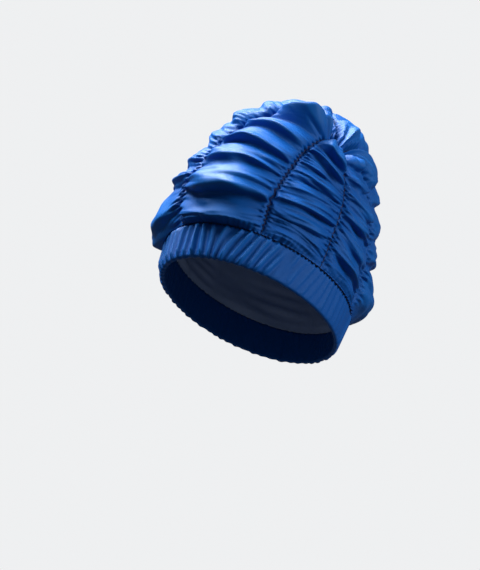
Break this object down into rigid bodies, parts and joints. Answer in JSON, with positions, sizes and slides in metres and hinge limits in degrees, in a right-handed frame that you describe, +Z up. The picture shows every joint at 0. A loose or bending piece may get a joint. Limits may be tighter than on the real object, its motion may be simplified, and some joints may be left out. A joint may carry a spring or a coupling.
{
  "type": "shower cap",
  "caption": "Tall ruched shower cap of gathered cloth panels, with a ribbed elastic band round the head opening and a thin waterproof lining.",
  "frame": {"origin": "centre of the head opening, level with the lower edge of the band", "axes": "+Z up through the cap towards its crown, -Y towards the wearer's forehead, +X towards the wearer's left"},
  "size_m": [0.1811, 0.2283, 0.2101],
  "materials": {
    "cloth": "royal blue woven polyester with a soft satin sheen",
    "elastic": "woven elastic tape, dull blue",
    "tape": "plain woven binding tape, blue",
    "film": "thin milky blue waterproof film"
  },
  "bodies": {
    "root": {"outer_panel_1": "cloth", "outer_panel_2": "cloth", "outer_panel_3": "cloth", "outer_panel_4": "cloth", "outer_panel_5": "cloth", "outer_panel_6": "cloth", "outer_panel_7": "cloth", "outer_panel_8": "cloth", "seam_elastic_1": "elastic", "seam_elastic_2": "elastic", "seam_elastic_3": "elastic", "seam_elastic_4": "elastic", "seam_elastic_5": "elastic", "seam_elastic_6": "elastic", "seam_elastic_7": "elastic", "seam_elastic_8": "elastic", "band_casing": "cloth", "band_elastic": "elastic", "joining_tape": "tape", "crown_patch": "cloth", "lining": "film"}
  },
  "joints": []
}
